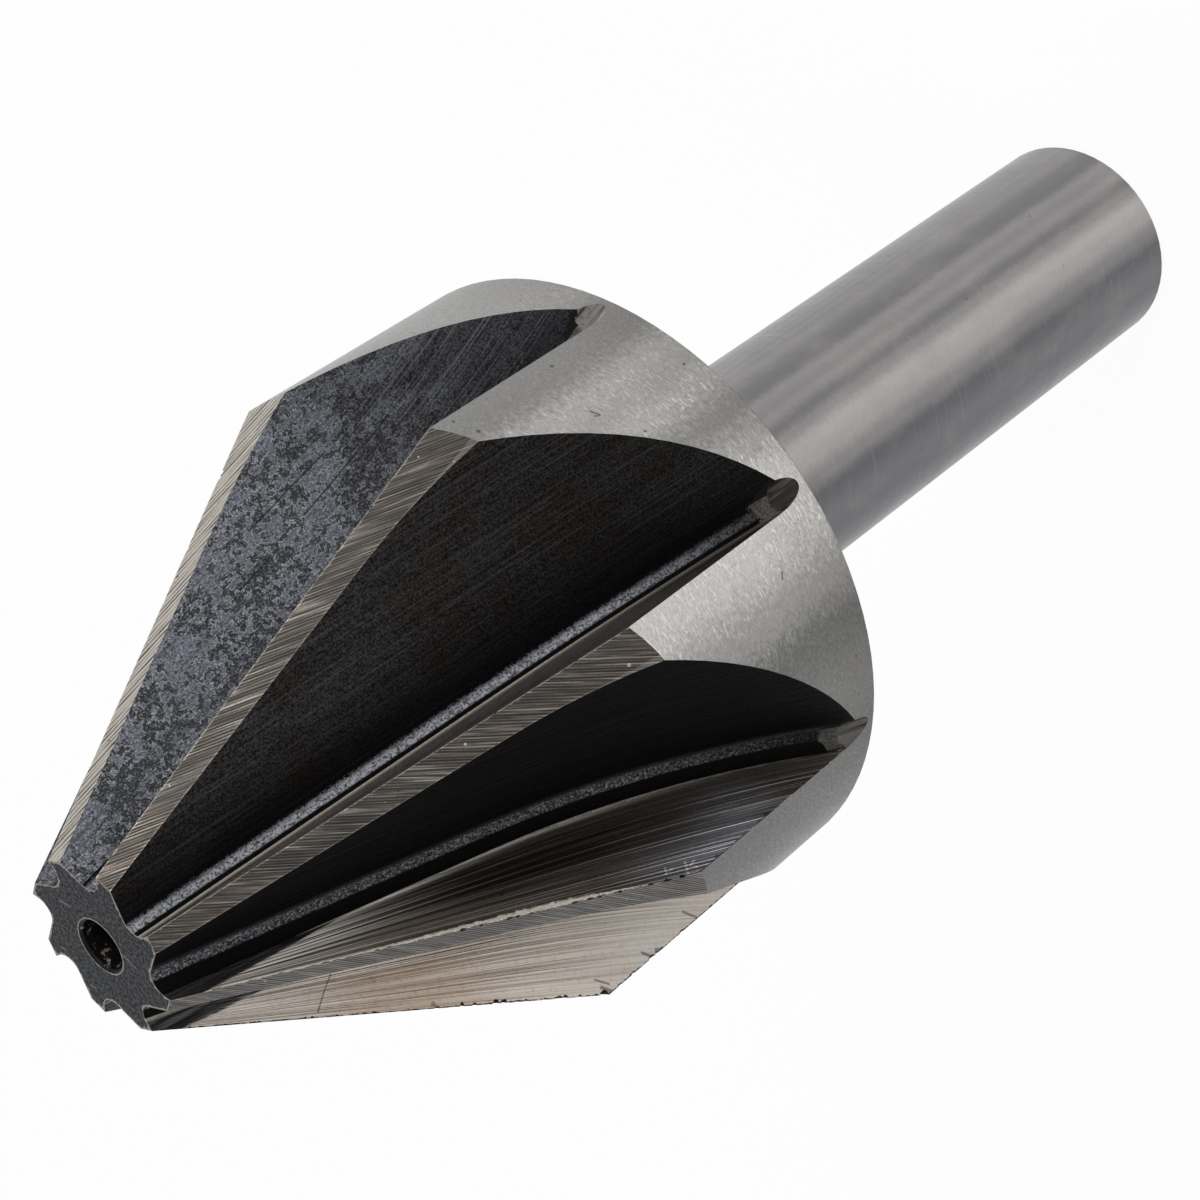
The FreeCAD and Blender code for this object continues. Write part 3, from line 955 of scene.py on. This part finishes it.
# Limits that tell the surfaces apart: heights, radii and gaps in millimetres, and parts of a face's normal.
limits = {
    "holeReach": 1.35, "holeLow": 68.5, "mouth": 75.49, "tip": 75.48, "upward": 0.9,
    "foot": 0.02, "rear": 42.5, "rearReach": 6.3, "shank": 42.3, "shankReach": 6.6,
    "headReach": 15.7, "headTop": 55.4, "outward": 0.995, "brokenEdge": 42.45, "slanted": 0.5,
    "land": 0.03, "landTurn": 0.99, "rake": 0.02, "rakeTurn": 0.985, "flute": 0.05,
    "wallFrom": 0.96, "wallTurn": -0.2, "rootTo": 1.02, "pocketTop": 46.5, "pocketWide": 1.5,
    "pocketRise": 1.2,
}


def roundKind(radius, z, normal, radial):  # the surfaces that go round the axis
    upward = normal.z > limits["upward"]
    if radius < limits["holeReach"] and z > limits["holeLow"] and not (z > limits["mouth"] and upward):
        return "hole"
    if z > limits["tip"] and upward:
        return "tip"
    onRear = normal.z < -limits["upward"] and radius > limits["rearReach"]
    if z < limits["rear"] and (z < limits["foot"] or onRear):
        return "shoulder"
    if z < limits["shank"] and radius < limits["shankReach"]:
        return "shank"
    onEdge = z < limits["brokenEdge"] and radial > limits["slanted"]
    if radius > limits["headReach"] and z < limits["headTop"] and (radial > limits["outward"] or onEdge):
        return "head"
    return None


def toothKind(p, n):  # the surfaces of one tooth and of the flute before it
    if p.x < 0:
        return None
    onLand = abs(p.dot(landNormal) - tool["landOffset"]) < limits["land"]
    if onLand and n.dot(landNormal) > limits["landTurn"] and p.y < 0:
        return "land"
    inward, rise = p.y + tool["setback"], aboveRoot(p.x, p.z)
    if n.y > limits["rakeTurn"] and abs(inward) < limits["rake"]:
        return "rake"
    if inward < -limits["rake"] or n.x < limits["wallTurn"]:
        return None
    onWall = abs(rise * math.cos(slant) - inward * math.sin(slant)) < limits["flute"]
    if onWall and inward > limits["wallFrom"] and n.y < limits["wallTurn"]:
        return "wall"
    if abs(filletGap(inward, rise)) < limits["flute"] and inward < limits["rootTo"]:
        return "root"
    if p.z < limits["pocketTop"] and inward < limits["pocketWide"] and rise < limits["pocketRise"]:
        return "pocket"
    return None


def filletGap(inward, rise):  # how far a point lies outside the rounded root's circle
    return math.hypot(inward - tool["rootFillet"], rise - filletRise) - tool["rootFillet"]


def faceKind(centre, normal):  # which of the tool's surfaces a face belongs to, and its tooth
    radius = math.hypot(centre.x, centre.y)
    radial = (centre.x * normal.x + centre.y * normal.y) / max(radius, 1e-9)
    kind = roundKind(radius, centre.z, normal, radial)
    if kind:
        return kind, 0
    for tooth in range(tool["teeth"]):
        kind = toothKind(turnedTo(centre, tooth), turnedTo(normal, tooth))
        if kind:
            return kind, tooth
    return "chip", 0


landWidths = ((55.15, 1.83), (55.9, 1.7), (57.04, 1.59), (58.44, 1.41), (59.58, 1.32), (60.73, 1.27),
        (75.6, 0.87))
landAngles = (36, 35, 32, 36, 33, 38, 30, 36)  # how far the wheel marks turn away from each edge


def landWidth(z):
    for (z0, w0), (z1, w1) in zip(landWidths, landWidths[1:]):
        if z <= z1:
            return w0 + (w1 - w0) * max(0, (z - z0) / (z1 - z0))
    return landWidths[-1][1]


# Gives (along the grain, across it, tooth) and (gap, gap, height) for a point seen as on tooth 0.
def surfacePlace(kind, tooth, p):
    along = (tool["tipZ"] - p.z) * tool["stretch"]
    inward = p.y + tool["setback"]
    gapRim = (edgeX(p.z) - math.hypot(p.x, p.y)) * math.cos(math.radians(tool["halfCone"]))
    if kind == "land":
        away = p - landCorner
        e, w = away.dot(landAlong), away.dot(landBack)
        c, s = math.cos(math.radians(landAngles[tooth])), math.sin(math.radians(landAngles[tooth]))
        return (w * s - e * c, e * s + w * c, tooth), (w, landWidth(p.z) - w, e)
    if kind == "rake":
        return (along, p.x, tooth), (edgeX(p.z) - p.x, aboveRoot(p.x, p.z) - filletRise, p.z)
    if kind == "wall":
        return (along, inward / math.cos(slant), tooth), (inward - tool["wallStart"], gapRim, p.z)
    if kind == "root":
        turn = math.atan2(filletRise - aboveRoot(p.x, p.z), tool["rootFillet"] - inward)
        share = turn / math.radians(tool["rootTurn"])
        return (along, turn * tool["rootFillet"], tooth), (share, gapRim, p.z)
    return (p.z, inward, tooth), (inward, tool["pocketWidth"] - inward, p.z)


def tipGap(p):  # from a point of the end face to its outline, which the lands and the flutes' ends draw
    gaps = [9.0]
    for tooth in range(tool["teeth"]):
        q = turnedTo(p, tooth)
        if q.x < 0 or q.y < -1.5 or q.y > 3.4:
            continue
        inward, rise = q.y + tool["setback"], aboveRoot(q.x, 75.5)
        if inward < 0:
            gaps.append((tool["landOffset"] - q.dot(landNormal)) / math.hypot(landNormal.x, landNormal.y))
            if rise > filletRise:
                gaps.append(-inward)
        elif inward > tool["wallStart"]:
            gaps.append(math.sin(slant) * inward - rise * math.cos(slant))
        gaps.append(filletGap(inward, rise))
    return max(0, min(gaps))


def placesAt(kind, tooth, p):  # both sets of places that the finishes read, for one corner of a face
    if kind in ("land", "rake", "wall", "root", "pocket"):
        return surfacePlace(kind, tooth, turnedTo(p, tooth))
    if kind == "tip":
        fromHole = math.hypot(p.x, p.y) - tool["holeRadius"] - tool["holeEdge"]
        return (p.x, p.y, 0), (tipGap(p), max(0, fromHole), p.z)
    return (p.z, 0, 0), (9, 9, p.z)


def paintPlaces(bit, finishes):  # a material for each surface, and the places on it
    mesh = bit.data
    order = list(finishes)
    mesh.materials.clear()
    for kind in order:
        mesh.materials.append(finishes[kind])
    way, gaps, count = [], [], {}
    for face in mesh.polygons:
        kind, tooth = faceKind(face.center / mm, face.normal)
        count[kind] = count.get(kind, 0) + 1
        face.material_index = order.index(kind)
        for rearShade in face.vertices:
            first, second = placesAt(kind, tooth, mesh.vertices[rearShade].co / mm)
            way.extend(first)
            gaps.extend(second)
    for name, values in (("grainWay", way), ("edgeGap", gaps)):
        mesh.attributes.new(name, "FLOAT_VECTOR", "CORNER").data.foreach_set("vector", values)
    print("faces by surface:", count)


def buildBit():
    bit = weldedCopy()
    cutNicks(bit)
    sliceTip(bit)
    finishes = {
        "head": headFinish(headLook), "shank": shankFinish(shankLook),
        "shoulder": shoulderFinish(shoulderLook),
        "land": landFinish(landLook), "rake": rakeFinish(rakeLook), "wall": wallFinish(wallLook),
        "root": rootFinish(rootLook), "pocket": pocketFinish(pocketLook), "tip": tipFinish(tipLook),
        "hole": holeFinish(holeLook), "chip": chipFinish(chipLook)}
    paintPlaces(bit, finishes)
    makeActive(bit)
    bpy.ops.object.shade_smooth_by_angle(angle=math.radians(skinFacts["smooth"]))
    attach(bit, "root")
    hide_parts("countersink_bit")
    return bit


studio = {
    "floor": (238, 238, 238), "floorSize": 6.0, "floorRough": 0.9, "floorShine": 0.1, "white": 0.95,
    "skyLow": (236, 238, 240), "skyHigh": (178, 180, 184), "skyStrength": 0.62,
    # place, width and strength of each lamp, and what they point at
    "lamps": (((0.42, -0.30, 0.46), 0.34, 2.4), ((-0.45, -0.42, 0.40), 0.5, 0.9),
            ((-0.1, 0.5, 0.35), 0.9, 1.4)),
    "aim": (0, 0, 0.045),
    "camera": (0.0124131, -0.1072772, 0.1250229), "cameraTurn": (-37.96973, 40.19609, -133.49833),
    "lens": 82.9763, "sensor": 36.0}


def seenRays():  # 1 for what the camera sees, also by a reflection or through glass
    path = addNode("LightPath").outputs
    return greatest(*[path["Is %s Ray" % kind] for kind in ("Camera", "Glossy", "Transmission")])


def buildFloor():
    deselectAll()
    bpy.ops.mesh.primitive_plane_add(size=studio["floorSize"], location=(0, 0, 0))
    floor = bpy.context.object
    floor.name = "floor"
    material = startFinish("paleFloor", {"shine": studio["floorShine"]})
    shader = shaderOf(material)
    setInput(shader.inputs["Base Color"], studio["floor"])
    setInput(shader.inputs["Roughness"], studio["floorRough"])
    seen = times(seenRays(), studio["white"])
    glow = addNode("Emission", {"Color": (255, 255, 255), "Strength": 1.0})
    both = addNode("MixShader", {0: seen, 1: shader.outputs[0], 2: glow.outputs[0]})
    link(both.outputs[0], material.node_tree.nodes["Material Output"].inputs["Surface"])
    floor.data.materials.append(material)


def buildLight():
    world = bpy.data.worlds.new("studio")
    bpy.context.scene.world = world
    world.use_nodes = True
    wiring["tree"] = world.node_tree
    back = world.node_tree.nodes["Background"].inputs
    up = partsOf(addNode("TexCoord").outputs["Generated"])[2]
    link(mixed(spread(up, 0.0, 0.9), studio["skyLow"], studio["skyHigh"]), back["Color"])
    link(spread(seenRays(), 0.0, 1.0, studio["skyStrength"], 1.0), back["Strength"])
    for i, (spot, width, strength) in enumerate(studio["lamps"]):
        deselectAll()
        bpy.ops.object.light_add(type="AREA", location=spot)
        lamp = bpy.context.object
        lamp.name = "lamp%d" % i
        lamp.data.shape, lamp.data.size, lamp.data.energy = "DISK", width, strength
        aim = Vector(studio["aim"]) - Vector(spot)
        lamp.rotation_euler = aim.to_track_quat("-Z", "Y").to_euler()


def buildCamera():  # stands where the photographer stood, with the photograph's own tilt
    deselectAll()
    bpy.ops.object.camera_add(location=studio["camera"])
    camera = bpy.context.object
    camera.name = "photoCamera"
    camera.rotation_euler = [math.radians(a) for a in studio["cameraTurn"]]
    camera.data.lens, camera.data.sensor_width = studio["lens"], studio["sensor"]
    camera.data.clip_start, camera.data.clip_end = 0.01, 20
    bpy.context.scene.camera = camera


bpy.context.scene.view_settings.view_transform = "Standard"
buildFloor()
buildLight()
buildCamera()
print("studio ready")
bit = buildBit()
print("bit ready")
